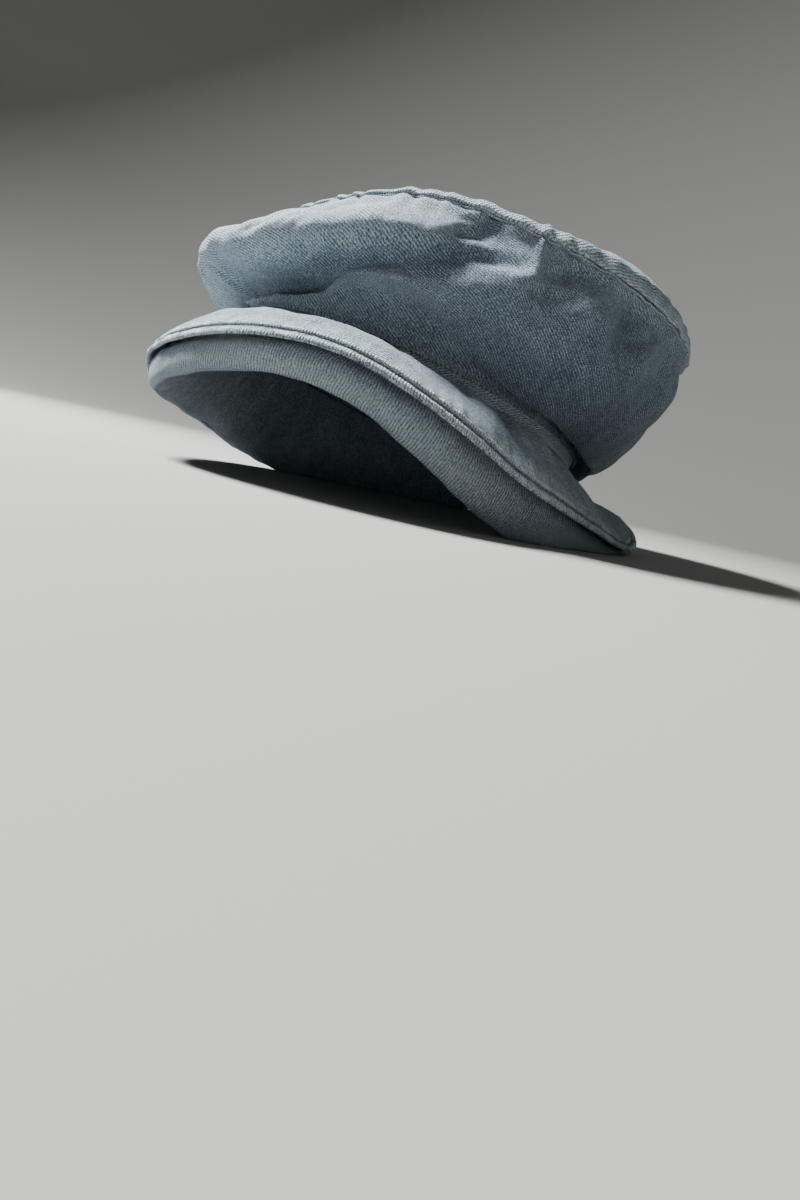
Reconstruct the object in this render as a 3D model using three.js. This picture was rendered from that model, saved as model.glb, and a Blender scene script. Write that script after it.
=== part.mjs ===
// A baker boy cap in washed denim, with a full brim all round. Millimetres, +Z up. The front of the
// cap faces -Y and the wearer's left is +X. The cap rests by itself on the floor, z = 0.
//
// "turn" is the angle round the head: 0 at the front, 90 at the wearer's left, 180 at the back.
// "out" is a distance outwards from the head opening, square to its edge.

import * as THREE from 'three';

// ---------------------------------------------------------------- driving sizes

const STEPS = 72; // facets round the cap
const NUDGE = 1e-3; // a step along s small enough to give a direction
const TURN_NUDGE = 0.1; // and the same round the cap, in degrees

const CLOTH = 1.6; // one ply of heavy denim, swelled by washing
const BRIM_CLOTH = 2.4; // two plies, stitched through
const SEWN_GAP = 0.3; // clearance kept between two pieces that are sewn together

const HEAD_HALF_WIDTH = 86; // head opening, about hat size 58 to 59
const HEAD_HALF_LENGTH = 103;

// The cap is drawn with the seam of brim and band level, at height 0, and then sits back on the floor.
const SIT_BACK = 13; // degrees
const SIT_HEIGHT = 58; // of the middle of the head opening above the floor
const SEAM_OUT = 3;

const BAND_HEIGHT = 8;
const BAND_LEAN = 1.5; // how far the band leans outwards over its height
const FOOT_LAP = 2; // the crown's foot comes down this far over the band's top edge
const FOOT_RISE = 3.2; // and stands up this far above it before it falls outwards
const RIM_LAP = 1; // the top of the crown reaches this far out over the edge of the side

const TOP_SPREAD = 1.5; // above 1, the rings of the crown's top lie closer together near its seam

const BRIM_WIDTH = 61; // from seam to edge, along the cloth
const HEM_DROP = 1.5; // the stitched hem turns down a little at the very edge
const HEM_BEND = 12; // how late in the brim's width that turn begins: a power of the way out

// The under-brim is a soft roll. It leaves the brim by the seam, sags to its lowest line and turns
// up in a round nose to the stitching just inside the brim's edge.
const UNDER_GAP = 0.45; // clearance between the brim and the roll's two ends
const UNDER_START = 0.02; // where it leaves the brim, as a share of the brim's width
const GROOVE = 7; // it ends this far inside the brim's edge
const ROLL = 15; // from that end inwards to the start of its lowest line
const MIDDLE_SAG = 0.5; // how far its middle hangs, as a share of its deepest sag
const MIDDLE_BACK = 0.08; // and how far that middle leans inwards, as the same share
const LOW_RISE = 0.12; // the start of the lowest line is this share of the sag above its end
const LOW_END = 0.6; // where the lowest line ends, as a share of the way out to the stitching
const NOSE_OUT = 0.8; // the nose bulges this far beyond the stitching
const NOSE_HEIGHT = 0.45; // and is roundest at this share of its height

// The brim, a row for each eighth of the way round: how steeply it falls from seam to edge in degrees,
// how far its middle bows above that straight line, and how far the lowest line of the soft roll
// beneath it hangs below its edge.
const BRIM_COLUMNS = ['turn', 'slope', 'bow', 'roll'];
const BRIM_ROWS = [
  [0, 40, 9, 12],
  [45, 17, 8, 14],
  [90, 35, 6, 22],
  [135, 30, -2, 9],
  [180, -4, -2, 7],
  [225, 27, -1, 12],
  [270, 45, 2, 16],
  [315, 54, 6, 5],
];

// The side of the crown, from the band up to the top seam, a row for each eighth of the way round:
// where the flank, belly, shoulder and seam lie, and how high the top puffs up inside that seam.
const CROWN_COLUMNS = [
  'turn', 'flankOut', 'flankZ', 'bellyOut', 'bellyZ', 'shoulderOut', 'shoulderZ', 'seamOut', 'seamZ', 'puff',
];
const CROWN_ROWS = [
  [0, 12, 14, 37, 20, 43, 33, 15, 54, 5],
  [45, 10, 26, 30, 34, 37, 54, 17, 77, 6],
  [90, 17, 9, 35, 24, 47, 52, 38, 79, 12],
  [135, 18, 5, 34, 27, 46, 58, 43, 84, 14],
  [180, 20, 7, 34, 33, 46, 64, 44, 89, 14],
  [225, 20, 9, 36, 34, 45, 64, 35, 86, 10],
  [270, 18, 14, 38, 30, 42, 55, 22, 71, 6],
  [315, 17, 7, 42, 15, 44, 35, 16, 54, 5],
];
const TOP_CENTRE = { x: 8, y: 16, z: 84 };

// Folds and dents of the crown's side: where the middle lies (turn, and height from 0 at the band to
// 1 at the top seam), half of its length round the cap in degrees, half of its width, how many
// millimetres it goes in (negative stands out), and how much height it gains over its length.
const FOLD_COLUMNS = ['turn', 'height', 'length', 'width', 'depth', 'climb'];
const SIDE_FOLDS = [
  [38, 0.63, 31, 0.09, 13, 0.23],
  [14, 0.46, 14, 0.09, 11, 0.05],
  [352, 0.44, 9, 0.11, 7, 0.02],
  [60, 0.93, 4, 0.07, 4, 0.03],
  [79, 0.84, 6, 0.09, 5, 0.06],
  [99, 0.87, 5, 0.1, 5, 0.04],
  [116, 0.78, 7, 0.09, 4, 0.07],
  [150, 0.82, 7, 0.12, 5, -0.04],
  [205, 0.73, 10, 0.1, 6, 0.06],
  [262, 0.64, 22, 0.09, 7, -0.08],
];
// The same for the top of the crown, where height runs from 0 at the seam to 1 in the middle.
const TOP_FOLDS = [
  [30, 0.32, 17, 0.2, 4, 0.05],
  [76, 0.3, 15, 0.2, 4, 0.08],
  [122, 0.34, 16, 0.2, 4, -0.06],
  [165, 0.3, 15, 0.2, 4, 0.05],
  [216, 0.38, 20, 0.22, 5, 0.08],
  [268, 0.34, 17, 0.2, 4, -0.05],
  [320, 0.42, 22, 0.22, 4, 0.06],
];

// ---------------------------------------------------------------- tables and curves

function table(columns, rows) {
  return rows.map((row) => Object.fromEntries(columns.map((column, k) => [column, row[k]])));
}

const BRIM = table(BRIM_COLUMNS, BRIM_ROWS);
const CROWN = table(CROWN_COLUMNS, CROWN_ROWS);
const SIDE_DENTS = table(FOLD_COLUMNS, SIDE_FOLDS);
const TOP_DENTS = table(FOLD_COLUMNS, TOP_FOLDS);

// The value of a column at any turn, smooth through the rows, which are evenly spaced.
function around(rows, column, turn) {
  const place = (((turn % 360) + 360) % 360) / (360 / rows.length);
  const row = Math.floor(place);
  const part = place - row;
  const [a, b, c, d] = [-1, 0, 1, 2].map((k) => rows[(row + k + rows.length) % rows.length][column]);
  return b + 0.5 * part * (c - a + part * (2 * a - 5 * b + 4 * c - d + part * (3 * (b - c) + d - a)));
}

// A point beside the head opening, at a height.
function beside(turn, out, z) {
  const angle = THREE.MathUtils.degToRad(turn);
  const edge = new THREE.Vector2(HEAD_HALF_WIDTH * Math.sin(angle), -HEAD_HALF_LENGTH * Math.cos(angle));
  const square = new THREE.Vector2(Math.sin(angle) / HEAD_HALF_WIDTH, -Math.cos(angle) / HEAD_HALF_LENGTH);
  edge.addScaledVector(square.normalize(), out);
  return new THREE.Vector3(edge.x, edge.y, z);
}

// From the cap's own upright frame to where it sits on the floor.
function seated(point) {
  point.applyAxisAngle(new THREE.Vector3(1, 0, 0), THREE.MathUtils.degToRad(-SIT_BACK));
  point.z += SIT_HEIGHT;
  return point;
}

// ---------------------------------------------------------------- the shapes, by turn and by s

// The brim's section, seam to edge, drawn in (out, z).
function brimSection(turn, s) {
  const slope = THREE.MathUtils.degToRad(around(BRIM, 'slope', turn));
  const bow = 4 * around(BRIM, 'bow', turn) * s * (1 - s);
  const run = BRIM_WIDTH * s;
  return new THREE.Vector2(
    SEAM_OUT + run * Math.cos(slope) + bow * Math.sin(slope),
    -run * Math.sin(slope) + bow * Math.cos(slope) - HEM_DROP * s ** HEM_BEND,
  );
}

// A section point 'depth' below the middle of the brim's cloth.
function belowBrim(turn, s, depth) {
  const here = brimSection(turn, s);
  const ahead = brimSection(turn, s + NUDGE).sub(here).normalize();
  return new THREE.Vector2(here.x + ahead.y * depth, here.y - ahead.x * depth);
}

// The under-brim's section, from the seam to the stitching.
function underSection(turn) {
  const clear = (BRIM_CLOTH + CLOTH) / 2 + UNDER_GAP;
  const stitched = 1 - GROOVE / BRIM_WIDTH;
  const crest = stitched - ROLL / BRIM_WIDTH;
  const root = belowBrim(turn, UNDER_START, clear);
  const middle = belowBrim(turn, crest / 2, clear);
  const lowest = belowBrim(turn, crest, clear);
  const end = belowBrim(turn, stitched, clear);
  const low = brimSection(turn, 1).y - around(BRIM, 'roll', turn) + CLOTH / 2;
  const sag = lowest.y - low;
  return new THREE.SplineCurve([
    root,
    new THREE.Vector2(middle.x - sag * MIDDLE_BACK, middle.y - sag * MIDDLE_SAG),
    new THREE.Vector2(lowest.x, low + sag * LOW_RISE),
    new THREE.Vector2(THREE.MathUtils.lerp(lowest.x, end.x, LOW_END), low),
    new THREE.Vector2(end.x + NOSE_OUT, THREE.MathUtils.lerp(low, end.y, NOSE_HEIGHT)),
    end,
  ]);
}

function bandSection(turn, s) {
  return new THREE.Vector2(SEAM_OUT + BAND_LEAN * s, BRIM_CLOTH / 2 + SEWN_GAP + BAND_HEIGHT * s);
}

function foldDepth(folds, turn, height) {
  let depth = 0;
  for (const fold of folds) {
    const away = ((turn - fold.turn + 540) % 360) - 180;
    const along = away / fold.length;
    const across = (height - fold.height - fold.climb * along) / fold.width;
    depth += fold.depth * Math.exp(-(along ** 4) - across * across);
  }
  return depth;
}

function crownSection(turn) {
  const at = (column) => around(CROWN, column, turn);
  const band = bandSection(turn, 1);
  const foot = band.x + CLOTH + SEWN_GAP;
  return new THREE.SplineCurve([
    new THREE.Vector2(foot, band.y - FOOT_LAP),
    new THREE.Vector2(foot + CLOTH, band.y + FOOT_RISE),
    new THREE.Vector2(at('flankOut'), at('flankZ')),
    new THREE.Vector2(at('bellyOut'), at('bellyZ')),
    new THREE.Vector2(at('shoulderOut'), at('shoulderZ')),
    new THREE.Vector2(at('seamOut'), at('seamZ')),
  ]);
}

// ---------------------------------------------------------------- walls of cloth

// A wall of even thickness round the cap. point(turn, s) gives its middle surface; s runs so that
// the cloth's right side is on the right-hand side of going round and then along s.
function wall({ rows, thickness, point, pole, onFloor }) {
  const last = pole ? rows - 1 : rows;
  const positions = [];
  const stand = (side) => {
    const start = positions.length / 3;
    for (let row = 0; row <= last; row++) {
      for (let step = 0; step < STEPS; step++) {
        const turn = (360 * step) / STEPS;
        const s = row / rows;
        const low = Math.max(s - NUDGE, 0);
        const high = Math.min(s + NUDGE, 1);
        const round = point(turn + TURN_NUDGE, s).sub(point(turn - TURN_NUDGE, s));
        const along = point(turn, high).sub(point(turn, low));
        const p = point(turn, s).addScaledVector(round.cross(along).normalize(), (side * thickness) / 2);
        seated(p);
        if (onFloor) {
          p.z = Math.max(p.z, side > 0 ? 0 : thickness);
        }
        positions.push(p.x, p.y, p.z);
      }
    }
    if (pole) {
      const p = point(0, 1);
      p.z += (side * thickness) / 2;
      seated(p);
      positions.push(p.x, p.y, p.z);
    }
    return start;
  };
  const outer = stand(1);
  const inner = stand(-1);
  const index = [];
  const quad = (a, b, c, d) => index.push(a, b, c, a, c, d);
  for (let step = 0; step < STEPS; step++) {
    const next = (step + 1) % STEPS;
    for (let row = 0; row < last; row++) {
      const here = row * STEPS;
      const there = here + STEPS;
      quad(outer + here + step, outer + here + next, outer + there + next, outer + there + step);
      quad(inner + here + next, inner + here + step, inner + there + step, inner + there + next);
    }
    quad(inner + step, inner + next, outer + next, outer + step);
    const end = last * STEPS;
    if (pole) {
      const tip = (last + 1) * STEPS;
      index.push(outer + end + step, outer + end + next, outer + tip);
      index.push(inner + end + next, inner + end + step, inner + tip);
    } else {
      quad(outer + end + step, outer + end + next, inner + end + next, inner + end + step);
    }
  }
  const geometry = new THREE.BufferGeometry();
  geometry.setAttribute('position', new THREE.Float32BufferAttribute(positions, 3));
  geometry.setIndex(index);
  return geometry;
}

function crownSidePoint(turn, s) {
  const p = crownSection(turn).getPoint(s);
  return beside(turn, p.x - foldDepth(SIDE_DENTS, turn, s), p.y);
}

function crownTopPoint(turn, s) {
  const side = crownSection(turn);
  const seam = side.getPoint(1);
  const clear = (CLOTH / 2) * (1 + Math.abs(side.getTangent(1).x)) + SEWN_GAP;
  const rim = beside(turn, seam.x + RIM_LAP, seam.y + clear);
  const centre = new THREE.Vector3(TOP_CENTRE.x, TOP_CENTRE.y, TOP_CENTRE.z);
  const inwards = s ** TOP_SPREAD;
  const p = rim.clone().lerp(centre, inwards);
  p.z += around(CROWN, 'puff', turn) * Math.sin(Math.PI * Math.sqrt(inwards));
  p.z -= foldDepth(TOP_DENTS, turn, s);
  return p;
}

function bandPoint(turn, s) {
  const p = bandSection(turn, s);
  return beside(turn, p.x, p.y);
}

function brimPoint(turn, s) {
  const p = brimSection(turn, s);
  return beside(turn, p.x, p.y);
}

function underPoint(turn, s) {
  const p = underSection(turn).getPoint(s);
  return beside(turn, p.x, p.y);
}

// ---------------------------------------------------------------- the cap

const PIECES = [
  { name: 'crown_top', colour: 0x7d8fa0, rows: 7, thickness: CLOTH, point: crownTopPoint, pole: true },
  { name: 'crown_side', colour: 0x74879a, rows: 13, thickness: CLOTH, point: crownSidePoint },
  { name: 'band', colour: 0x7f93a5, rows: 1, thickness: CLOTH, point: bandPoint },
  { name: 'brim', colour: 0x7b8e9f, rows: 7, thickness: BRIM_CLOTH, point: brimPoint },
  { name: 'under_brim', colour: 0x64788a, rows: 9, thickness: CLOTH, point: underPoint, onFloor: true },
];
const DENIM_ROUGHNESS = 0.95;

const cap = new THREE.Group();
cap.name = 'baker_boy_cap';
for (const piece of PIECES) {
  const geometry = wall(piece);
  geometry.computeVertexNormals();
  const denim = new THREE.MeshStandardMaterial({ color: piece.colour, roughness: DENIM_ROUGHNESS });
  const mesh = new THREE.Mesh(geometry, denim);
  mesh.name = piece.name;
  cap.add(mesh);
}

// The origin is the middle of the cap's box, at the floor.
const middle = new THREE.Box3().setFromObject(cap).getCenter(new THREE.Vector3());
cap.position.set(-middle.x, -middle.y, 0);

export default cap;
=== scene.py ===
import math

import bmesh
import bpy
from mathutils import Matrix, Vector, noise


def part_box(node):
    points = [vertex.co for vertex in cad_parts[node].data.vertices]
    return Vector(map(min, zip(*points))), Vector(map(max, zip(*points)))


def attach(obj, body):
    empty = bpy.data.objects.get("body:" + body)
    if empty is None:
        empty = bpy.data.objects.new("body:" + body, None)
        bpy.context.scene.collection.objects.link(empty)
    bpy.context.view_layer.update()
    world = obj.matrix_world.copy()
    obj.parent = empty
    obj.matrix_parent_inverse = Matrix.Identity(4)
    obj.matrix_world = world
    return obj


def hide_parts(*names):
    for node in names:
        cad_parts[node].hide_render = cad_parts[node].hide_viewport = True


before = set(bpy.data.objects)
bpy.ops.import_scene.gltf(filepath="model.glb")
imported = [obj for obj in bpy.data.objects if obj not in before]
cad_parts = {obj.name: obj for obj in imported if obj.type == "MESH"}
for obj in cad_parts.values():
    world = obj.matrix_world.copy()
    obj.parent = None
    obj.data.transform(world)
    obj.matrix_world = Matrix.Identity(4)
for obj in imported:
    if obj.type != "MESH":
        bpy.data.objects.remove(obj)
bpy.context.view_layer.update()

# A baker boy cap in washed denim. The pieces are drawn in millimetres in the cap's own upright frame
# and then set down on the floor as the cap sits. "turn" is the angle round the head in degrees: 0 at
# the front, 90 at the wearer's left, 180 at the back. "out" is a distance outwards from the head
# opening, and "s" runs along a piece's section from 0 to 1.

MM = 0.001

# ---------------------------------------------------------------- sizes

HEAD_HALF_WIDTH = 86
HEAD_HALF_LENGTH = 103
SIT_BACK = 13  # degrees
SIT_HEIGHT = 58
SEAM_OUT = 3

CLOTH = 1.6
BRIM_CLOTH = 2.4
SEWN_GAP = 0.3

BAND_HEIGHT = 8
BAND_LEAN = 1.5
FOOT_LAP = 2
FOOT_RISE = 3.2
RIM_LAP = 1

BRIM_WIDTH = 61
HEM_DROP = 1.5
HEM_BEND = 12

UNDER_GAP = 0.45
UNDER_START = 0.02
GROOVE = 7
ROLL = 15
MIDDLE_SAG = 0.5
MIDDLE_BACK = 0.08
LOW_RISE = 0.12
LOW_END = 0.6
NOSE_OUT = 0.8
NOSE_HEIGHT = 0.45
TOP_SPREAD = 1.5

# How far round the cap, in mm, the weave and the puckers of each place are laid out. The cloth itself
# is a little longer or shorter from place to place.
ROUND = 850  # the crown
BAND_ROUND = 610
SEAM_ROUND = 640  # the seam at the band, for the crown and the brim alike
BRIM_ROUND = 780  # the middle of the brim
EDGE_ROUND = 935  # the edge of the brim
UNDER_ROUND = 940

# And how far across.
SIDE_DEEP = 122  # the crown's side, from the band to the top seam
TOP_DEEP = 125  # the crown's top, from the seam to its middle
UNDER_DEEP = 100
HEM_START = 55  # from the seam to the inner row of the hem's stitches

BRIM_COLUMNS = ("turn", "slope", "bow", "roll")
BRIM_ROWS = (
    (0, 40, 9, 12),
    (45, 17, 8, 14),
    (90, 35, 6, 22),
    (135, 30, -2, 9),
    (180, -4, -2, 7),
    (225, 27, -1, 12),
    (270, 45, 2, 16),
    (315, 54, 6, 5),
)

CROWN_COLUMNS = (
    "turn", "flank_out", "flank_z", "belly_out", "belly_z",
    "shoulder_out", "shoulder_z", "seam_out", "seam_z", "puff",
)
CROWN_ROWS = (
    (0, 12, 14, 37, 20, 43, 33, 15, 54, 5),
    (45, 10, 26, 30, 34, 37, 54, 17, 77, 6),
    (90, 17, 9, 35, 24, 47, 52, 38, 79, 12),
    (135, 18, 5, 34, 27, 46, 58, 43, 84, 14),
    (180, 20, 7, 34, 33, 46, 64, 44, 89, 14),
    (225, 20, 9, 36, 34, 45, 64, 35, 86, 10),
    (270, 18, 14, 38, 30, 42, 55, 22, 71, 6),
    (315, 17, 7, 42, 15, 44, 35, 16, 54, 5),
)
TOP_CENTRE = Vector((8, 16, 84))

# The cap's large folds, as its solids have them.
FOLD_COLUMNS = ("turn", "height", "length", "width", "depth", "climb")
SIDE_FOLDS = (
    (38, 0.63, 31, 0.09, 13, 0.23),
    (14, 0.46, 14, 0.09, 11, 0.05),
    (352, 0.44, 9, 0.11, 7, 0.02),
    (60, 0.93, 4, 0.07, 4, 0.03),
    (79, 0.84, 6, 0.09, 5, 0.06),
    (99, 0.87, 5, 0.1, 5, 0.04),
    (116, 0.78, 7, 0.09, 4, 0.07),
    (150, 0.82, 7, 0.12, 5, -0.04),
    (205, 0.73, 10, 0.1, 6, 0.06),
    (262, 0.64, 22, 0.09, 7, -0.08),
)
TOP_FOLDS = (
    (30, 0.32, 17, 0.2, 4, 0.05),
    (76, 0.3, 15, 0.2, 4, 0.08),
    (122, 0.34, 16, 0.2, 4, -0.06),
    (165, 0.3, 15, 0.2, 4, 0.05),
    (216, 0.38, 20, 0.22, 5, 0.08),
    (268, 0.34, 17, 0.2, 4, -0.05),
    (320, 0.42, 22, 0.22, 4, 0.06),
)

# Small creases in the cloth: where the middle lies, half of the length and half of the width in mm,
# the depth, and the way it runs, in degrees from the way round the cap towards the top.
CREASE_COLUMNS = ("turn", "height", "length", "width", "depth", "way")
CREASE_REACH = 40  # mm, past which a crease does nothing
SIDE_CREASES = (
    (24, 0.555, 22, 3.2, 2.4, 24),
    (40, 0.66, 24, 3.2, 2.4, 22),
    (54, 0.76, 20, 3.0, 2.0, 18),
    (66, 0.83, 13, 2.8, 1.8, 12),
    (62, 0.6, 26, 6.0, 1.3, -12),
    (88, 0.55, 24, 6.0, 1.2, -20),
    (12, 0.76, 14, 4.0, 1.0, 35),
    (344, 0.72, 13, 4.0, 1.0, 60),
    (58, 0.88, 11, 2.6, 1.6, 10),
    (61, 0.95, 8, 3.0, 1.8, 70),
    (80, 0.9, 9, 2.6, 1.5, 35),
    (77, 0.8, 11, 2.4, 1.3, 12),
    (86, 0.93, 7, 2.6, 1.2, 80),
    (98, 0.92, 10, 3.0, 1.6, 75),
    (104, 0.86, 9, 2.6, 1.4, 40),
    (108, 0.78, 12, 3.4, 1.4, 60),
    (118, 0.9, 9, 3.0, 1.4, 100),
    (127, 0.8, 12, 3.0, 1.2, 70),
    (28, 0.9, 8, 2.4, 0.8, 60),
    (22, 0.86, 9, 2.4, 0.8, 50),
    (350, 0.52, 9, 3.0, 1.4, 80),
    (342, 0.62, 10, 3.0, 1.2, 55),
    (140, 0.6, 16, 4.0, 1.2, 60),
    (160, 0.9, 10, 3.0, 1.4, 95),
    (172, 0.72, 14, 3.6, 1.2, 60),
    (190, 0.9, 9, 3.0, 1.4, 80),
    (214, 0.86, 12, 3.2, 1.4, 105),
    (232, 0.7, 16, 3.6, 1.3, 60),
    (248, 0.9, 10, 3.0, 1.3, 85),
    (285, 0.86, 10, 3.0, 1.2, 95),
    (300, 0.6, 14, 3.4, 1.2, 20),
    (318, 0.7, 14, 3.4, 1.2, 30),
)
BRIM_CREASES = (
    (24, 0.26, 9, 1.3, 0.7, 12),
    (25, 0.32, 10, 1.3, 0.7, 12),
    (27, 0.38, 9, 1.3, 0.6, 12),
    (29, 0.44, 8, 1.3, 0.5, 12),
    (70, 0.35, 12, 4.0, 1.2, 75),
    (82, 0.3, 14, 5.0, 1.6, 80),
    (92, 0.4, 14, 4.5, 1.6, 70),
    (101, 0.35, 13, 4.5, 1.5, 85),
    (112, 0.5, 16, 5.0, 1.4, 80),
    (135, 0.5, 14, 5.0, 1.4, 100),
    (160, 0.4, 14, 5.0, 1.2, 85),
    (195, 0.5, 16, 5.0, 1.3, 95),
    (222, 0.4, 14, 5.0, 1.3, 80),
    (250, 0.5, 14, 4.5, 1.3, 100),
    (290, 0.4, 14, 5.0, 1.2, 85),
    (330, 0.4, 12, 4.0, 1.0, 95),
)


def table(columns, rows):
    return [dict(zip(columns, row)) for row in rows]


BRIM = table(BRIM_COLUMNS, BRIM_ROWS)
CROWN = table(CROWN_COLUMNS, CROWN_ROWS)
SIDE_DENTS = table(FOLD_COLUMNS, SIDE_FOLDS)
TOP_DENTS = table(FOLD_COLUMNS, TOP_FOLDS)
SIDE_MARKS = table(CREASE_COLUMNS, SIDE_CREASES)
BRIM_MARKS = table(CREASE_COLUMNS, BRIM_CREASES)


NEAR = 1e-3  # a small step along a section, which shows the way it runs

# ---------------------------------------------------------------- curves


def around(rows, column, turn):
    """A column's value at a turn, on a smooth curve through its rows, which lie evenly round the cap."""
    place = (turn % 360) / (360 / len(rows))
    row = math.floor(place)
    t = place - row
    a, b, c, d = (rows[(row + k) % len(rows)][column] for k in (-1, 0, 1, 2))
    return b + 0.5 * t * (c - a + t * (2 * a - 5 * b + 4 * c - d + t * (3 * (b - c) + d - a)))


def along(points, s):
    """The point at s, on a smooth curve through the points."""
    place = min(max(s, 0), 1) * (len(points) - 1)
    k = min(int(place), len(points) - 2)
    t = place - k
    a, b, c, d = points[max(k - 1, 0)], points[k], points[k + 1], points[min(k + 2, len(points) - 1)]
    v0, v1 = (c - a) * 0.5, (d - b) * 0.5
    return (2 * b - 2 * c + v0 + v1) * t**3 + (-3 * b + 3 * c - 2 * v0 - v1) * t**2 + v0 * t + b


def bump(x):
    return math.exp(-x * x)


def smooth(x):
    x = min(max(x, 0), 1)
    return x * x * (3 - 2 * x)


def rough(x, y, seed):
    """Smooth noise round zero, the same each time."""
    return noise.noise(Vector((x, y, seed)))


def beside(turn, out, z):
    """The point at a turn, square to the oval of the head opening and out from it."""
    angle = math.radians(turn)
    edge = Vector((HEAD_HALF_WIDTH * math.sin(angle), -HEAD_HALF_LENGTH * math.cos(angle)))
    square = Vector((math.sin(angle) / HEAD_HALF_WIDTH, -math.cos(angle) / HEAD_HALF_LENGTH)).normalized()
    edge += square * out
    return Vector((edge.x, edge.y, z))


# ---------------------------------------------------------------- sections, as the solids have them


def brim_section(turn, s):
    slope = math.radians(around(BRIM, "slope", turn))
    bow = 4 * around(BRIM, "bow", turn) * s * (1 - s)
    run = BRIM_WIDTH * s
    return Vector((
        SEAM_OUT + run * math.cos(slope) + bow * math.sin(slope),
        -run * math.sin(slope) + bow * math.cos(slope) - HEM_DROP * abs(s) ** HEM_BEND,
    ))


def below_brim(turn, s, depth):
    here = brim_section(turn, s)
    ahead = (brim_section(turn, s + NEAR) - here).normalized()
    return Vector((here.x + ahead.y * depth, here.y - ahead.x * depth))


def under_section(turn):
    clear = (BRIM_CLOTH + CLOTH) / 2 + UNDER_GAP
    stitched = 1 - GROOVE / BRIM_WIDTH
    crest = stitched - ROLL / BRIM_WIDTH
    middle = below_brim(turn, crest / 2, clear)
    lowest = below_brim(turn, crest, clear)
    end = below_brim(turn, stitched, clear)
    low = brim_section(turn, 1).y - around(BRIM, "roll", turn) + CLOTH / 2
    sag = lowest.y - low
    return [
        below_brim(turn, UNDER_START, clear),
        Vector((middle.x - sag * MIDDLE_BACK, middle.y - sag * MIDDLE_SAG)),
        Vector((lowest.x, low + sag * LOW_RISE)),
        Vector((lowest.x + (end.x - lowest.x) * LOW_END, low)),
        Vector((end.x + NOSE_OUT, low + (end.y - low) * NOSE_HEIGHT)),
        end,
    ]


def band_section(s):
    return Vector((SEAM_OUT + BAND_LEAN * s, BRIM_CLOTH / 2 + SEWN_GAP + BAND_HEIGHT * s))


def crown_section(turn):
    band = band_section(1)
    foot = band.x + CLOTH + SEWN_GAP
    return [
        Vector((foot, band.y - FOOT_LAP)),
        Vector((foot + CLOTH, band.y + FOOT_RISE)),
        *(
            Vector((around(CROWN, f"{place}_out", turn), around(CROWN, f"{place}_z", turn)))
            for place in ("flank", "belly", "shoulder", "seam")
        ),
    ]


def fold_depth(folds, turn, height):
    depth = 0
    for fold in folds:
        way = ((turn - fold["turn"] + 540) % 360 - 180) / fold["length"]
        across = (height - fold["height"] - fold["climb"] * way) / fold["width"]
        depth += fold["depth"] * math.exp(-(way**4) - across * across)
    return depth


# ---------------------------------------------------------------- setting the cap down

# The band is set down where the solids have it, and every other piece moves with it.
band_ends = [
    Matrix.Rotation(math.radians(-SIT_BACK), 3, "X")
    @ beside(turn, band_section(s).x + side * CLOTH / 2, band_section(s).y)
    for turn in range(0, 360, 5)
    for s in (0, 1)
    for side in (-1, 1)
]
band_low, band_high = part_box("band")
SHIFT = Vector((
    (band_low[0] + band_high[0]) / 2 / MM - (min(p.x for p in band_ends) + max(p.x for p in band_ends)) / 2,
    (band_low[1] + band_high[1]) / 2 / MM - (min(p.y for p in band_ends) + max(p.y for p in band_ends)) / 2,
    SIT_HEIGHT,
))
SET_DOWN = Matrix.Translation(SHIFT) @ Matrix.Rotation(math.radians(-SIT_BACK), 4, "X")


# ---------------------------------------------------------------- cloth pieces


def cloth_round(rounds, rows, place, flat):
    """A grid of cloth bent round the cap. place(turn, s) gives the middle of the cloth in the cap's
    own frame, and flat(turn, s) the same point on the cut cloth, in mm, which becomes its UV."""
    mesh = bmesh.new()
    uv = mesh.loops.layers.uv.new("cloth")
    turn_of = mesh.verts.layers.float.new("turn")
    s_of = mesh.verts.layers.float.new("s")
    bmesh.ops.create_grid(mesh, x_segments=rounds, y_segments=rows, size=0.5)
    for v in mesh.verts:
        v[turn_of], v[s_of] = (v.co.x + 0.5) * 360, v.co.y + 0.5
    for face in mesh.faces:
        for loop in face.loops:
            loop[uv].uv = flat(loop.vert[turn_of], loop.vert[s_of])
    for v in mesh.verts:
        v.co = place(v[turn_of], v[s_of])
    bmesh.ops.remove_doubles(mesh, verts=mesh.verts, dist=1e-3)
    return mesh


def face_away(mesh, side):
    """Turns the whole cloth so that its right side shows; side(point) points to that side."""
    mesh.normal_update()
    if sum(f.normal.dot(side(f.calc_center_median())) * f.calc_area() for f in mesh.faces) < 0:
        bmesh.ops.reverse_faces(mesh, faces=mesh.faces)
    mesh.normal_update()


def push(mesh, height):
    """Moves each point of the cloth along its own normal by height(turn, s), in mm."""
    turn_of = mesh.verts.layers.float["turn"]
    s_of = mesh.verts.layers.float["s"]
    for v, far in [(v, height(v[turn_of], v[s_of])) for v in mesh.verts]:
        v.co += v.normal * far
    mesh.normal_update()


def paint_wear_and_shade(mesh, amount):
    """Keeps how pale or dark the cloth is painted, as an attribute of the piece: up to 1 where the dye is
    rubbed off and pale, and down to -1 where shade is painted in, in deep folds, in grooves, under the hem's
    ridges and in a deep patch on the crown's side away from the light."""
    rubbed_and_shaded = mesh.verts.layers.float.new("rubbed_and_shaded")
    turn_of = mesh.verts.layers.float["turn"]
    s_of = mesh.verts.layers.float["s"]
    for v in mesh.verts:
        v[rubbed_and_shaded] = min(max(amount(v[turn_of], v[s_of]), -1), 1)


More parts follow.
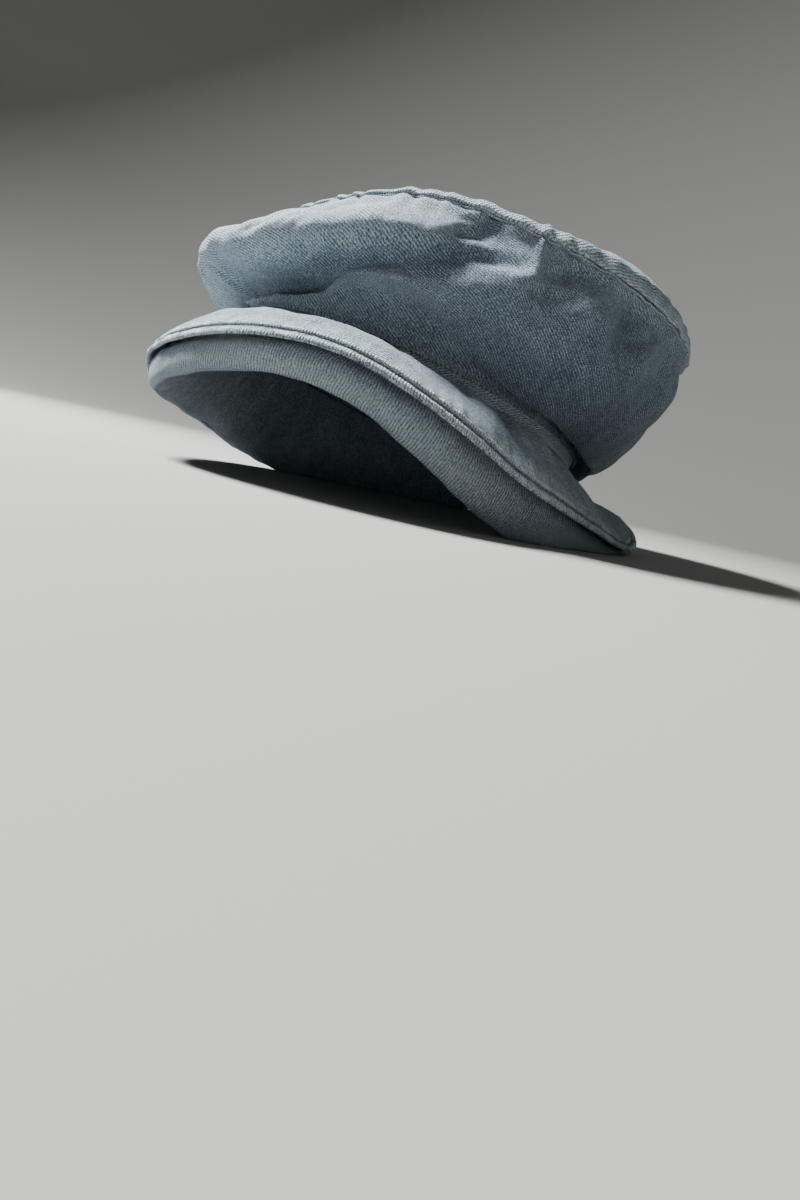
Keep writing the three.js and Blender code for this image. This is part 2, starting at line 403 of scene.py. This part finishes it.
def ready(name, mesh, material, thickness=0.0, floor=0.0):
    """Sets a piece down, keeps it above the floor, turns millimetres to metres and gives it its wall."""
    for v in mesh.verts:
        v.co = SET_DOWN @ v.co
        v.co.z = max(v.co.z, floor)
        v.co *= MM
    data = bpy.data.meshes.new(name)
    mesh.to_mesh(data)
    mesh.free()
    for face in data.polygons:
        face.use_smooth = True
    piece = bpy.data.objects.new(name, data)
    bpy.context.collection.objects.link(piece)
    if thickness:
        wall = piece.modifiers.new("wall", "SOLIDIFY")
        wall.thickness = thickness * MM
        wall.offset = 0
        wall.use_even_offset = False
    data.materials.append(material)
    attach(piece, "root")
    return piece


def crease_depth(creases, turn, s, round_mm, deep_mm):
    """How far small creases push the cloth in at a place; the cloth rises a little beside each."""
    total = 0
    for crease in creases:
        u = ((turn - crease["turn"] + 540) % 360 - 180) / 360 * round_mm
        v = (s - crease["height"]) * deep_mm
        if abs(u) > CREASE_REACH or abs(v) > CREASE_REACH:
            continue
        way = math.radians(crease["way"])
        a = (u * math.cos(way) + v * math.sin(way)) / crease["length"]
        b = (-u * math.sin(way) + v * math.cos(way)) / crease["width"]
        across = bump(b) - 0.5 * bump(b - 1.9) - 0.5 * bump(b + 1.9)
        total += crease["depth"] * math.exp(-(a**4)) * across
    return total


# ---------------------------------------------------------------- materials


def linear(hex_colour):
    """sRGB hex to a linear colour."""
    parts = [int(hex_colour[k:k + 2], 16) / 255 for k in (0, 2, 4)]
    return [c / 12.92 if c <= 0.04045 else ((c + 0.055) / 1.055) ** 2.4 for c in parts] + [1]


def add(tree, kind, settings=None, **inputs):
    """Adds a node with its settings, and its inputs as values or as links from other nodes' outputs.
    An input goes by its name, or by i and its number."""
    node = tree.nodes.new(kind)
    for key, value in (settings or {}).items():
        setattr(node, key, value)
    for key, value in inputs.items():
        numbered = key[0] == "i" and key[1:].isdigit()
        socket = node.inputs[int(key[1:]) if numbered else key.replace("_", " ")]
        if isinstance(value, bpy.types.NodeSocket):
            tree.links.new(value, socket)
        else:
            socket.default_value = value
    return node


MULTIPLY_ADD = {"operation": "MULTIPLY_ADD"}
FLAT_NOISE = {"noise_dimensions": "2D"}


def wave(tree, place, period):
    """A soft wave of 0 to 1 along a place in mm."""
    phase = add(tree, "ShaderNodeMath", {"operation": "MULTIPLY"}, i0=place, i1=2 * math.pi / period)
    swing = add(tree, "ShaderNodeMath", {"operation": "SINE"}, i0=phase.outputs[0])
    return add(tree, "ShaderNodeMath", MULTIPLY_ADD, i0=swing.outputs[0], i1=0.5, i2=0.5).outputs[0]


def washed_denim(name, wale, way, hollow, body, ridge, relief=0.4, mottle=0.5):
    """Twill of blue warp and undyed weft, washed until it is pale, blotchy and fuzzy. The eye sees fine
    slanting wales, pale where they are rubbed and blue between, slubs along the warp, cloudy patches
    where the wash took more dye, and a soft pale bloom at a slant. wale is the spacing of the wales in
    mm: about 1 mm on the real cloth, drawn a little coarser so that it shows. way is how the wales run,
    in degrees, relief is the bumps' height in mm, and mottle is how cloudy the wash left the cloth. hollow,
    body and ridge are the colours of the dye between the wales, of the whole and of the rubbed tops."""
    material = bpy.data.materials.new(name)
    material.use_nodes = True
    tree = material.node_tree
    tree.nodes.clear()
    uv = add(tree, "ShaderNodeUVMap", {"uv_map": "cloth"}).outputs[0]
    drift = add(tree, "ShaderNodeTexNoise", FLAT_NOISE, Vector=uv, Scale=0.05, Detail=2.0)
    shake = (2.5, 2.5, 0)  # mm that the weave wanders
    shaken = add(tree, "ShaderNodeVectorMath", MULTIPLY_ADD, i0=drift.outputs["Color"], i1=shake, i2=uv)
    turned = add(tree, "ShaderNodeMapping", {}, Vector=shaken.outputs[0], Rotation=(0, 0, math.radians(way)))
    split = add(tree, "ShaderNodeSeparateXYZ", {}, Vector=turned.outputs[0])
    wales = wave(tree, split.outputs[0], wale)
    # Each wale is a row of short floats of warp; they break it up along its length.
    step = add(tree, "ShaderNodeMath", MULTIPLY_ADD, i0=split.outputs[0], i1=0.62, i2=split.outputs[1])
    floats = wave(tree, step.outputs[0], wale * 0.8)
    cloth = add(tree, "ShaderNodeMath", MULTIPLY_ADD, i0=floats, i1=0.3, i2=wales)
    # Slubs: thick and thin places in the yarn, 0.4 mm across and several mm long.
    warp_way = (0, 0, math.radians(way - 27))
    warp = add(tree, "ShaderNodeMapping", {}, Vector=uv, Rotation=warp_way, Scale=(2.2, 0.28, 1))
    along_warp = warp.outputs[0]
    grain = {"Scale": 1.0, "Detail": 3.0, "Roughness": 0.7}
    slubs = add(tree, "ShaderNodeTexNoise", FLAT_NOISE, Vector=along_warp, **grain)
    speck = add(tree, "ShaderNodeTexNoise", FLAT_NOISE, Vector=uv, Scale=1.0, Detail=5.0, Roughness=0.9)
    patch = add(tree, "ShaderNodeTexNoise", FLAT_NOISE, Vector=uv, Scale=0.13, Detail=4.0, Roughness=0.6)
    cloud = add(tree, "ShaderNodeTexNoise", FLAT_NOISE, Vector=uv, Scale=0.022, Detail=3.0, Roughness=0.55)
    rubbed_and_shaded = add(tree, "ShaderNodeAttribute", {"attribute_name": "rubbed_and_shaded"}).outputs["Fac"]

    # The colour is a balance of dye, wear and painted shade: each pattern pulls it from the middle of the
    # ramp.
    level = 0.5
    for source, middle, share in (
        (cloth.outputs[0], 0.65, 0.36),
        (slubs.outputs["Fac"], 0.5, 1.1),
        (speck.outputs["Fac"], 0.5, 3.0),
        (patch.outputs["Fac"], 0.5, mottle),
        (cloud.outputs["Fac"], 0.5, mottle * 0.9),
        # rubbed pale where positive, painted shade where negative
        (rubbed_and_shaded, 0.12, 0.42),
    ):
        pull = add(tree, "ShaderNodeMath", {"operation": "SUBTRACT"}, i0=source, i1=middle)
        level = add(tree, "ShaderNodeMath", MULTIPLY_ADD, i0=pull.outputs[0], i1=share, i2=level).outputs[0]
    dye = add(tree, "ShaderNodeValToRGB", {}, Fac=level)
    stops = dye.color_ramp.elements
    # The darkest stop is the dye between the wales, and also the colour that the painted shade in folds and
    # grooves takes.
    stops[0].position, stops[0].color = 0.1, linear(hollow)
    stops[1].position, stops[1].color = 0.95, linear(ridge)
    middle_stop = stops.new(0.5)
    middle_stop.color = linear(body)

    height = add(tree, "ShaderNodeMath", MULTIPLY_ADD, i0=speck.outputs["Fac"], i1=1.1, i2=cloth.outputs[0])
    height = add(tree, "ShaderNodeMath", MULTIPLY_ADD, i0=slubs.outputs["Fac"], i1=0.8, i2=height.outputs[0])
    height = add(tree, "ShaderNodeMath", MULTIPLY_ADD, i0=patch.outputs["Fac"], i1=3.0, i2=height.outputs[0])
    bumps = add(tree, "ShaderNodeBump", {}, Height=height.outputs[0], Strength=1.0, Distance=relief * MM)
    finish = {"Base_Color": dye.outputs[0], "Roughness": 0.92, "Normal": bumps.outputs[0]}
    shader = add(tree, "ShaderNodeBsdfPrincipled", {}, **finish)
    shader.inputs["Specular IOR Level"].default_value = 0.2
    shader.inputs["Sheen Weight"].default_value = 0.25
    shader.inputs["Sheen Roughness"].default_value = 0.6
    shader.inputs["Sheen Tint"].default_value = linear("cfd9e2")
    add(tree, "ShaderNodeOutputMaterial", {}, Surface=shader.outputs[0])
    return material


crown_denim = washed_denim("washed_denim_crown", 1.4, 115, "2b3946", "6d8190", "bac5cb", mottle=0.32)
top_denim = washed_denim("washed_denim_crown_top", 1.4, -20, "2f3e4c", "71858f", "bac5cb", mottle=0.32)
band_denim = washed_denim("washed_denim_band", 1.3, 55, "34444f", "788b98", "c0cace", mottle=0.25)
brim_denim = washed_denim("washed_denim_brim", 1.4, 30, "2d3d49", "6d808d", "b9c4c9", mottle=0.4)
hem_denim = washed_denim("rubbed_denim_hem", 1.4, 8, "33434e", "7d8e98", "ccd3d5", relief=0.45, mottle=0.3)
under_denim = washed_denim(
    "washed_denim_under_brim", 1.5, 4, "24323e", "687b87", "b9c4ca", relief=0.7, mottle=0.25
)

# ---------------------------------------------------------------- crown

SIDE_STEPS = 40  # steps that the cloth's length is summed over
TOP_STEPS = 24
section_memory = {}


def crown_at(turn):
    """The crown's section at a turn, and its length so far at even steps, both worked out once."""
    key = round(turn, 4)
    if key not in section_memory:
        points = crown_section(turn)
        steps = [along(points, k / SIDE_STEPS) for k in range(SIDE_STEPS + 1)]
        far = [0]
        for a, b in zip(steps, steps[1:]):
            far.append(far[-1] + (b - a).length)
        section_memory[key] = points, far
    return section_memory[key]


def crown_side_place(turn, s):
    p = along(crown_at(turn)[0], s)
    return beside(turn, p.x - fold_depth(SIDE_DENTS, turn, s), p.y)


def crown_side_flat(turn, s):
    far = crown_at(turn)[1]
    k = min(int(s * SIDE_STEPS), SIDE_STEPS - 1)
    return turn / 360 * ROUND, far[k] + (far[k + 1] - far[k]) * (s * SIDE_STEPS - k)


def crown_top_place(turn, s):
    points = crown_at(turn)[0]
    seam = points[-1]
    lean = (seam - along(points, 0.999)).normalized()
    rim = beside(turn, seam.x + RIM_LAP, seam.y + CLOTH / 2 * (1 + abs(lean.x)) + SEWN_GAP)
    inwards = s**TOP_SPREAD
    p = rim.lerp(TOP_CENTRE, inwards)
    p.z += around(CROWN, "puff", turn) * math.sin(math.pi * math.sqrt(inwards))
    p.z -= fold_depth(TOP_DENTS, turn, s)
    return p


top_memory = {}


def crown_top_flat(turn, s):
    """The cut top is flat, so a place on it lies as far from the middle as the cloth is long."""
    key = round(turn, 4)
    if key not in top_memory:
        steps = [crown_top_place(turn, 1 - k / TOP_STEPS) for k in range(TOP_STEPS + 1)]
        far = [0]
        for a, b in zip(steps, steps[1:]):
            far.append(far[-1] + (b - a).length)
        top_memory[key] = far
    far = top_memory[key]
    k = min(int((1 - s) * TOP_STEPS), TOP_STEPS - 1)
    reach = far[k] + (far[k + 1] - far[k]) * ((1 - s) * TOP_STEPS - k)
    angle = math.radians(turn)
    return reach * math.sin(angle), -reach * math.cos(angle)




def gathers(turn, mm_from_seam, spacing, reach, round_mm, seed):
    """Short puckers that a seam pulls into the cloth: strongest at the seam, uneven round it. They lie
    spacing apart and fade out over reach, both in mm."""
    angle = math.radians(turn)
    loop = Vector((math.sin(angle), math.cos(angle)))
    drift = 5.0 * rough(loop.x * 4.0, loop.y * 4.0, seed)
    strong = 0.55 + 0.9 * rough(loop.x * 6.0, loop.y * 6.0, seed + 7)
    turns = round(round_mm / spacing)
    ridge = math.sin(angle * turns + drift) + 0.5 * math.sin(angle * round(turns * 1.63) + 2 * drift)
    return ridge * max(strong, 0.1) * math.exp(-mm_from_seam / reach)


def soft_rolls(turn, v, size, seed):
    """Slow hills and hollows of limp cloth, about size mm across, the same at turn 0 and 360."""
    radius = ROUND / (2 * math.pi) / size
    angle = math.radians(turn)
    return noise.noise(Vector((radius * math.sin(angle), radius * math.cos(angle), v / size + seed)))


def side_height(turn, s):
    down = (1 - s) * SIDE_DEEP
    up = s * SIDE_DEEP
    height = 2.6 * soft_rolls(turn, up, 34, 3)
    height += 1.5 * soft_rolls(turn, up, 15, 9)
    height += 0.5 * soft_rolls(turn, up, 6, 17)
    height = (height - 1.6) * smooth(up / 14) * smooth(down / 10)
    height += 1.2 * gathers(turn, down, 15, 11, ROUND, 2)
    height += 0.6 * gathers(turn, up, 11, 7, SEAM_ROUND, 5) * smooth(up / 4)
    height += 0.7 * bump((down - 3.5) / 2.2)  # the turned-in edge lies under the cloth beside the seam
    height -= crease_depth(SIDE_MARKS, turn, s, ROUND, SIDE_DEEP)
    # Inside a deep fold the cloth lies close and smooth.
    return height * (1 - 0.9 * smooth((fold_depth(SIDE_DENTS, turn, s) - 6) / 8))


side = cloth_round(440, 90, crown_side_place, crown_side_flat)
face_away(side, lambda p: Vector((p.x, p.y, p.z - 50)))
push(side, side_height)


def side_wear_and_shade(turn, s):
    rubbed_and_shaded = 0.12 + 0.55 * bump((1 - s) * SIDE_DEEP / 1.6)
    # Paler near the top at the front.
    rubbed_and_shaded += 0.45 * bump(((turn + 180) % 360 - 190) / 38) * bump((s - 0.85) / 0.25)
    # Painted shade: a broad dark patch half way up, at the wearer's left, on the side turned away from the
    # light.
    rubbed_and_shaded -= 0.95 * bump((turn - 108) / 40) * bump((s - 0.42) / 0.4)
    # Painted shade inside the deep folds.
    return rubbed_and_shaded - 0.7 * smooth(fold_depth(SIDE_DENTS, turn, s) / 15)


paint_wear_and_shade(side, side_wear_and_shade)
crown_side = ready("crown_side_panel", side, crown_denim, thickness=CLOTH)
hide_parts("crown_side")


def top_height(turn, s):
    inwards = s**TOP_SPREAD * TOP_DEEP
    height = 1.6 * soft_rolls(turn, inwards * 1.4, 30, 23) * (1 - s)
    height += 0.5 * soft_rolls(turn, inwards, 11, 31) * (1 - s)
    height *= smooth(inwards / 8)
    height += 0.9 * gathers(turn, inwards, 15, 10, ROUND, 2)
    height += 0.8 * bump((inwards - 3.2) / 2.0)
    # At the wearer's left the top stands up behind the seam.
    return height + 5.5 * bump((turn - 104) / 42) * bump((inwards - 20) / 16)


top = cloth_round(380, 52, crown_top_place, crown_top_flat)
face_away(top, lambda p: Vector((0, 0, 1)))
push(top, top_height)
paint_wear_and_shade(top, lambda turn, s: 0.12 + 0.4 * bump(s**TOP_SPREAD * TOP_DEEP / 1.8))
crown_top = ready("crown_top_panel", top, top_denim, thickness=CLOTH)
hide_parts("crown_top")

# ---------------------------------------------------------------- band


def band_place(turn, s):
    p = band_section(s)
    return beside(turn, p.x, p.y)


strip = cloth_round(360, 8, band_place, lambda turn, s: (turn / 360 * BAND_ROUND, s * BAND_HEIGHT))
face_away(strip, lambda p: Vector((p.x, p.y, 0)))
paint_wear_and_shade(strip, lambda turn, s: 0.25 + 0.5 * bump((s - 0.05) / 0.15))
band = ready("band_strip", strip, band_denim, thickness=CLOTH)
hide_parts("band")

# ---------------------------------------------------------------- brim

# The brim's own section: how far from the seam and how high above the middle of the cloth, in mm,
# along the top, over the two ridges of the stitched hem, round the edge and back underneath.
HEM_ROWS = (
    (0, 1.2),
    (12, 1.2),
    (24, 1.2),
    (36, 1.2),
    (47, 1.2),
    (52, 1.3),
    (54.2, 1.2),
    (56.4, 0.3),
    (58.6, 0.9),
    (60.3, 0.5),
    (60.6, -0.4),
    (59.4, -1.1),
    (57, -0.9),
    (52, -1.2),
    (36, -1.2),
    (18, -1.2),
    (0, -1.2),
    (0, 1.2),
)
HEM = [Vector(row) for row in HEM_ROWS]


def on_brim(turn, far, high):
    """A point of the brim: far from the seam along the cloth and high above its middle, in mm."""
    here = brim_section(turn, far / BRIM_WIDTH)
    ahead = (brim_section(turn, far / BRIM_WIDTH + NEAR) - here).normalized()
    high += brim_height(turn, far)
    return beside(turn, here.x - ahead.y * high, here.y + ahead.x * high)


def brim_height(turn, far):
    """Soft hills over the brim and the puckers that the hem's stitching pulls in."""
    from_hem = max(HEM_START - far, 0)
    height = 2.0 * soft_rolls(turn, far, 26, 41) + 1.1 * soft_rolls(turn, far, 12, 47)
    height *= smooth(far / 10) * (0.35 + 0.65 * smooth(from_hem / 8))
    height += 0.7 * gathers(turn, from_hem, 9, 11, EDGE_ROUND, 13) * smooth((HEM_START - far) / 2)
    height += 0.5 * gathers(turn, far, 12, 8, SEAM_ROUND, 5) * smooth(far / 3)
    height -= crease_depth(BRIM_MARKS, turn, far / BRIM_WIDTH, BRIM_ROUND, BRIM_WIDTH)
    return height


def brim_place(turn, s):
    return on_brim(turn, *along(HEM, s))


def brim_flat(turn, s):
    far, high = along(HEM, s)
    p = beside(turn, SEAM_OUT + far, 0)
    return p.x, p.y


def brim_wear_and_shade(turn, s):
    """Rubbed pale just inside the hem, and painted shade in the groove between its two ridges."""
    far = along(HEM, s)[0]
    return 0.12 + 0.35 * bump((far - 51) / 3) - 0.6 * bump((far - 56.5) / 1.2)


flap = cloth_round(480, 56, brim_place, brim_flat)
bmesh.ops.recalc_face_normals(flap, faces=flap.faces)
paint_wear_and_shade(flap, brim_wear_and_shade)
brim = ready("brim_cloth", flap, brim_denim)
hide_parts("brim")


STRAND = 1.5  # mm along a ridge of the hem from one strand of its rope to the next


def hem_rope(name, far, high, thick, seed):
    """A ridge of the hem. Washing shrinks the thread and the cloth unevenly, which twists the narrow
    folded strip between two rows of stitches into a rope."""

    def place(turn, s):
        lean = 2 * math.pi * s
        turns = round(EDGE_ROUND / STRAND)
        twist = math.sin(math.radians(turn) * turns - lean)
        lump = 1 + 0.07 * gathers(turn, 0, 8, 9, EDGE_ROUND, seed) + 0.12 * soft_rolls(turn, 0, 5, seed)
        wide = thick * lump * (1 + 0.13 * twist)
        rise = high + 0.8 * wide * math.sin(lean) + 0.25 * (lump - 1) * thick
        return on_brim(turn, far + wide * math.cos(lean), rise)

    mesh = cloth_round(1700, 10, place, lambda turn, s: (turn / 360 * EDGE_ROUND, s * 9))
    bmesh.ops.recalc_face_normals(mesh, faces=mesh.faces)
    # Rubbed paler on the top of the ridge, with painted shade on its underside.
    paint_wear_and_shade(mesh, lambda turn, s: 0.25 + 0.3 * math.sin(2 * math.pi * s))
    return ready(name, mesh, hem_denim)


ridges = [
    hem_rope("hem_ridge_inner", far=54.6, high=0.8, thick=1.2, seed=61),
    hem_rope("hem_ridge_edge", far=58.9, high=0.2, thick=1.55, seed=71),
]

# ---------------------------------------------------------------- under-brim


def under_place(turn, s):
    p = along(under_section(turn), s)
    return beside(turn, p.x, p.y)


def under_flat(turn, s):
    return turn / 360 * UNDER_ROUND, s * UNDER_DEEP


def under_height(turn, s):
    height = 1.3 * soft_rolls(turn, s * UNDER_DEEP, 24, 83) + 0.5 * soft_rolls(turn, s * UNDER_DEEP, 10, 89)
    height *= smooth((1 - s) / 0.08) * smooth(s / 0.1)
    height -= 3.2 * smooth((s - 0.84) / 0.12)  # drawn in where it is stitched, a dark groove under the hem
    return height + 0.8 * gathers(turn, (1 - s) * UNDER_DEEP, 13, 22, EDGE_ROUND, 13)


roll = cloth_round(440, 56, under_place, under_flat)
face_away(roll, lambda p: Vector((0, 0, -1)))
push(roll, under_height)
# Paler along the outer curve of the roll.
paint_wear_and_shade(roll, lambda turn, s: 0.1 + 0.3 * bump((s - 0.72) / 0.12))
under_brim = ready("under_brim_roll", roll, under_denim, thickness=CLOTH, floor=CLOTH / 2)
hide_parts("under_brim")

# ---------------------------------------------------------------- crown seam

WELT = 0.75  # mm, half of its thickness


def seam_welt():
    """The crown's top seam: both plies are turned in and pressed, and their fold stands up, rubbed pale."""

    def place(turn, s):
        lean = 2 * math.pi * s
        a = crown_side_place(turn, 1)
        b = crown_top_place(turn, 0)
        pucker = gathers(turn, 0, 15, 9, ROUND, 2)
        lump = 1 + 0.25 * pucker
        middle = (a + b) / 2 + 0.9 * pucker * Vector((0, 0, 0.7))
        outwards = (beside(turn, 10, 0) - beside(turn, 0, 0)).normalized()
        rise = Vector((0, 0, WELT * math.sin(lean)))
        return middle + lump * (outwards * (0.25 + WELT * math.cos(lean)) + rise)

    mesh = cloth_round(900, 9, place, lambda turn, s: (turn / 360 * ROUND, s * 8))
    bmesh.ops.recalc_face_normals(mesh, faces=mesh.faces)
    paint_wear_and_shade(mesh, lambda turn, s: 0.35)
    return ready("crown_seam_welt", mesh, hem_denim)


welt = seam_welt()

# ---------------------------------------------------------------- floor, light and camera

# The floor sweeps up into an all-round wall, open at the top, so no edge shows behind the cap.
FLOOR_RADIUS = 1.3
SWEEP = 0.9
WALL_TOP = 2.4
SWEEP_STEPS = 12
WALL_SIDES = 96


def backdrop():
    mesh = bmesh.new()
    bmesh.ops.create_vert(mesh, co=(0, 0, 0))
    steps = [Vector((FLOOR_RADIUS, 0, 0))]
    for k in range(1, SWEEP_STEPS + 1):
        lean = math.radians(90 * k / SWEEP_STEPS)
        steps.append(Vector((FLOOR_RADIUS + SWEEP * math.sin(lean), 0, SWEEP * (1 - math.cos(lean)))))
    steps.append(Vector((FLOOR_RADIUS + SWEEP, 0, WALL_TOP)))
    last = mesh.verts[:][0]
    for step in steps:
        ahead = mesh.verts.new(step)
        mesh.edges.new((last, ahead))
        last = ahead
    outline = mesh.verts[:] + mesh.edges[:]
    whole = {"steps": WALL_SIDES, "angle": 2 * math.pi, "use_merge": True}
    bmesh.ops.spin(mesh, geom=outline, axis=(0, 0, 1), cent=(0, 0, 0), **whole)
    bmesh.ops.remove_doubles(mesh, verts=mesh.verts, dist=1e-5)
    bmesh.ops.recalc_face_normals(mesh, faces=mesh.faces)
    data = bpy.data.meshes.new("floor")
    mesh.to_mesh(data)
    mesh.free()
    for face in data.polygons:
        face.use_smooth = True
    floor = bpy.data.objects.new("floor", data)
    bpy.context.collection.objects.link(floor)
    paint = bpy.data.materials.new("matt_paper_backdrop")
    paint.use_nodes = True
    shader = paint.node_tree.nodes["Principled BSDF"]
    shader.inputs["Base Color"].default_value = linear("8c8c8a")
    shader.inputs["Roughness"].default_value = 0.95
    data.materials.append(paint)


backdrop()

SKY = "d9dadc"
SKY_POWER = 0.17
world = bpy.data.worlds.new("studio")
bpy.context.scene.world = world
world.use_nodes = True
world.node_tree.nodes["Background"].inputs[0].default_value = linear(SKY)
world.node_tree.nodes["Background"].inputs[1].default_value = SKY_POWER


LIT = Vector((0, 0, 0.08))  # what the lights point at


def soft_light(name, place, size, power, spread):
    data = bpy.data.lights.new(name, "AREA")
    data.size = size
    data.energy = power
    data.spread = math.radians(spread)
    lamp = bpy.data.objects.new(name, data)
    lamp.location = place
    lamp.rotation_euler = (LIT - Vector(place)).to_track_quat("-Z", "Y").to_euler()
    bpy.context.collection.objects.link(lamp)


# The camera stands just above the floor and looks up at the cap a little, so that the underside of
# the brim shows. It points below the cap, which puts the cap in the upper half of the frame.
AIM = Vector((0, 0, 0.062))
VIEW_TURN = math.radians(57)
VIEW_RISE = math.radians(-4)
VIEW_ROLL = math.radians(12.5)
VIEW_FAR = 0.523
POINT_DOWN = math.radians(6.3)
POINT_LEFT = math.radians(1.3)

# The way from the cap to the camera.
back = Vector((
    math.sin(VIEW_TURN) * math.cos(VIEW_RISE),
    -math.cos(VIEW_TURN) * math.cos(VIEW_RISE),
    math.sin(VIEW_RISE),
))
camera_data = bpy.data.cameras.new("camera")
camera = bpy.data.objects.new("camera", camera_data)
bpy.context.collection.objects.link(camera)
camera.location = AIM + back * VIEW_FAR
level = Matrix.Rotation(VIEW_ROLL, 3, back) @ (-back).to_track_quat("-Z", "Y").to_matrix()
pointed = level @ Matrix.Rotation(-POINT_DOWN, 3, "X") @ Matrix.Rotation(POINT_LEFT, 3, "Y")
camera.rotation_euler = pointed.to_euler()
camera_data.sensor_width = 36
camera_data.lens = 26
camera_data.shift_y = -0.085
camera_data.clip_start = 0.01
bpy.context.scene.camera = camera

right = level @ Vector((1, 0, 0))
above = level @ Vector((0, 1, 0))
high_left = AIM - back * 0.12 - right * 0.55 + above * 1.2
near_left = AIM + back * 1.2 - right * 0.9 + Vector((0, 0, 0.35))
soft_light("key", high_left, size=0.35, power=112, spread=180)
soft_light("fill", near_left, size=0.8, power=0.6, spread=120)
